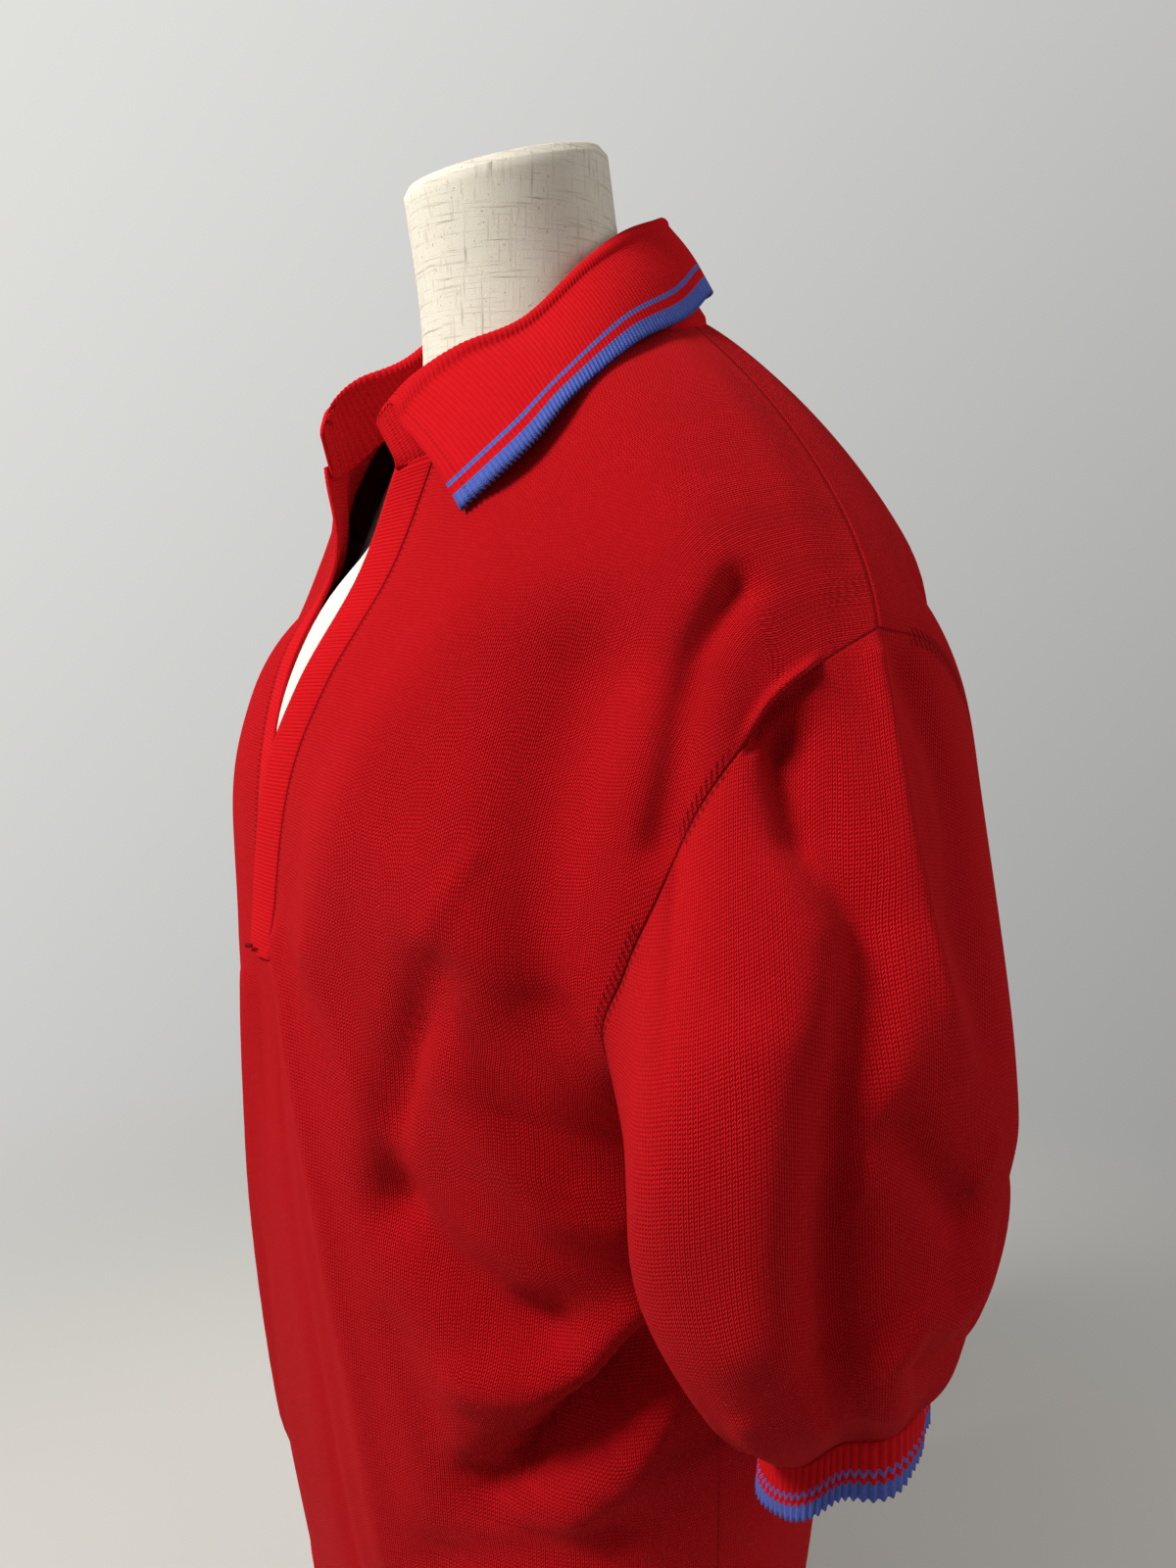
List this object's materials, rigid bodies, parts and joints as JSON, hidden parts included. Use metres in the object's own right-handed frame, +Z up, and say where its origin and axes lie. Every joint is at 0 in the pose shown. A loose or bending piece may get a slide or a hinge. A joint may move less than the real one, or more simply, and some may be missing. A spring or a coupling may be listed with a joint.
{
  "type": "knitted polo shirt on a limbless dress form",
  "caption": "Short-sleeved knitted polo shirt with tipped collar and cuffs and an open V placket, worn on a limbless dress form with a round foot",
  "frame": {"origin": "on the floor under the middle of the dress form, in the middle of the round foot's underside", "axes": "+Z up, -Y the shirt's front, +X the wearer's left"},
  "size_m": [0.556, 0.2928, 0.923],
  "materials": {
    "red_knit": "fine jersey knit, soft and matt",
    "red_rib": "rib knit, soft and matt",
    "blue_edged_rib": "rib knit with blue tipped edges",
    "canvas": "close white canvas",
    "linen": "slubbed natural linen",
    "painted_steel": "satin paint"
  },
  "bodies": {
    "root": {"front": "red_knit", "back": "red_knit", "sleeve_left": "red_knit", "sleeve_right": "red_knit", "hem_rib": "red_rib", "band_left": "red_rib", "band_right": "red_rib", "collar": "blue_edged_rib", "cuff_left": "blue_edged_rib", "cuff_right": "blue_edged_rib", "form_torso": "canvas", "form_neck": "linen", "stand_pole": "painted_steel", "stand_base": "painted_steel"}
  },
  "joints": []
}
